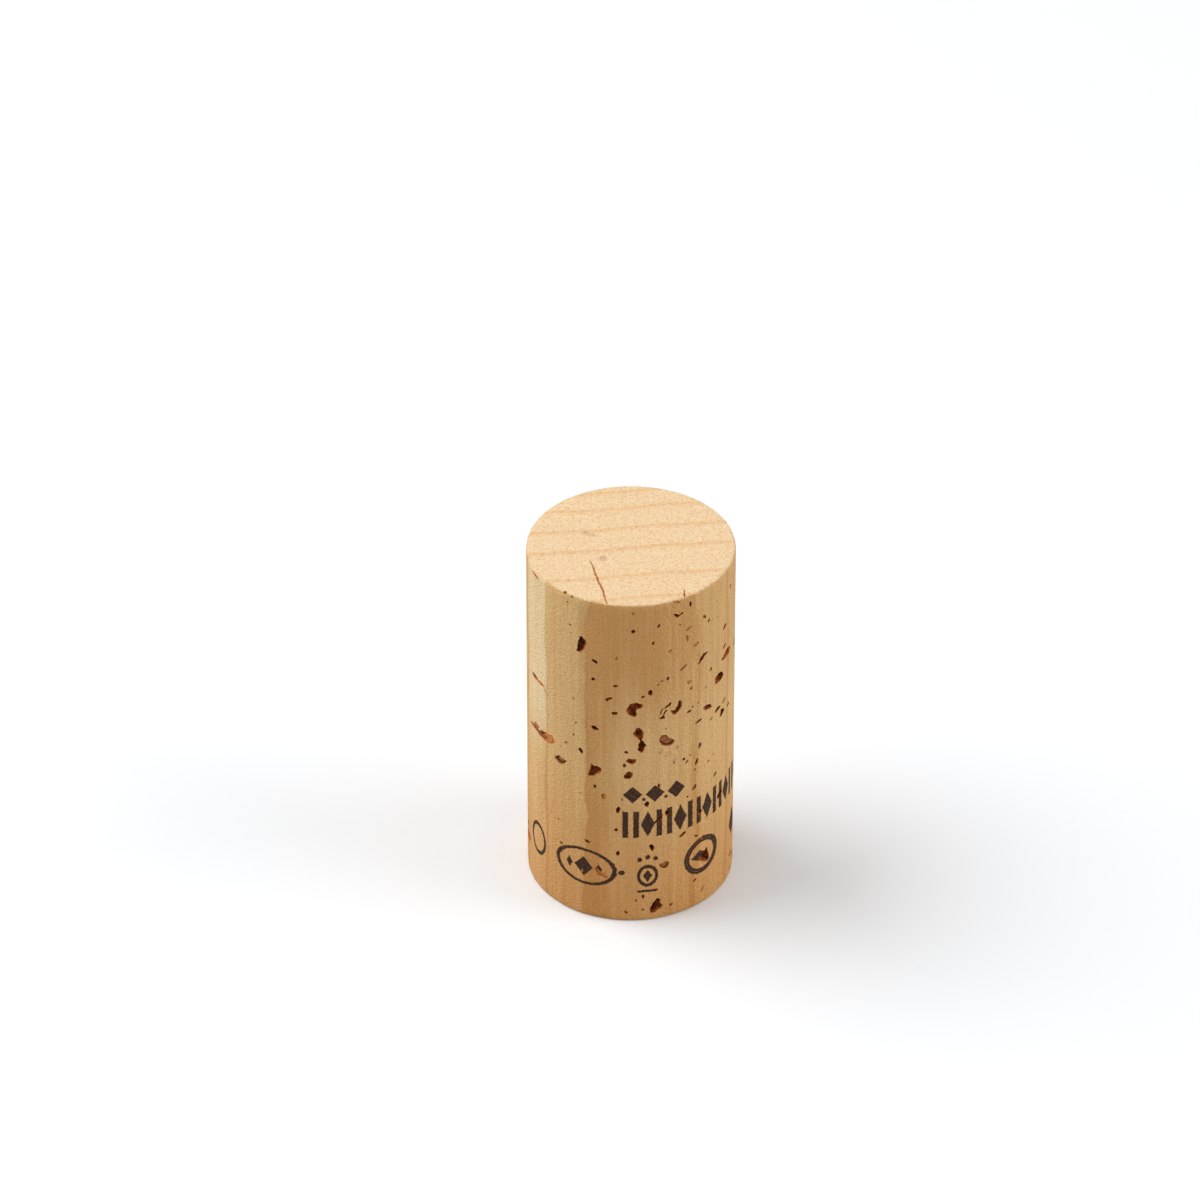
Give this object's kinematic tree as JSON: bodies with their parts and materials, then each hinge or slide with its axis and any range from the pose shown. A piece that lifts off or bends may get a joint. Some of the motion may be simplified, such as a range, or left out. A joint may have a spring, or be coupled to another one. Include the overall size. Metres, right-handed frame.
{
  "type": "cork stopper",
  "caption": "Straight cylindrical stopper punched from one piece of natural cork bark, with open pores in the wall and fine cracks in the ends; it closes a bottle neck.",
  "frame": {"origin": "centre of the foot's end face, on the cork's axis", "axes": "+Z along the axis from foot to top, -Y towards the side with the printed band, +X to that side's right"},
  "size_m": [0.024, 0.024, 0.045],
  "materials": {
    "natural_cork": "matte"
  },
  "bodies": {
    "root": {"cork_stopper": "natural_cork"}
  },
  "joints": []
}
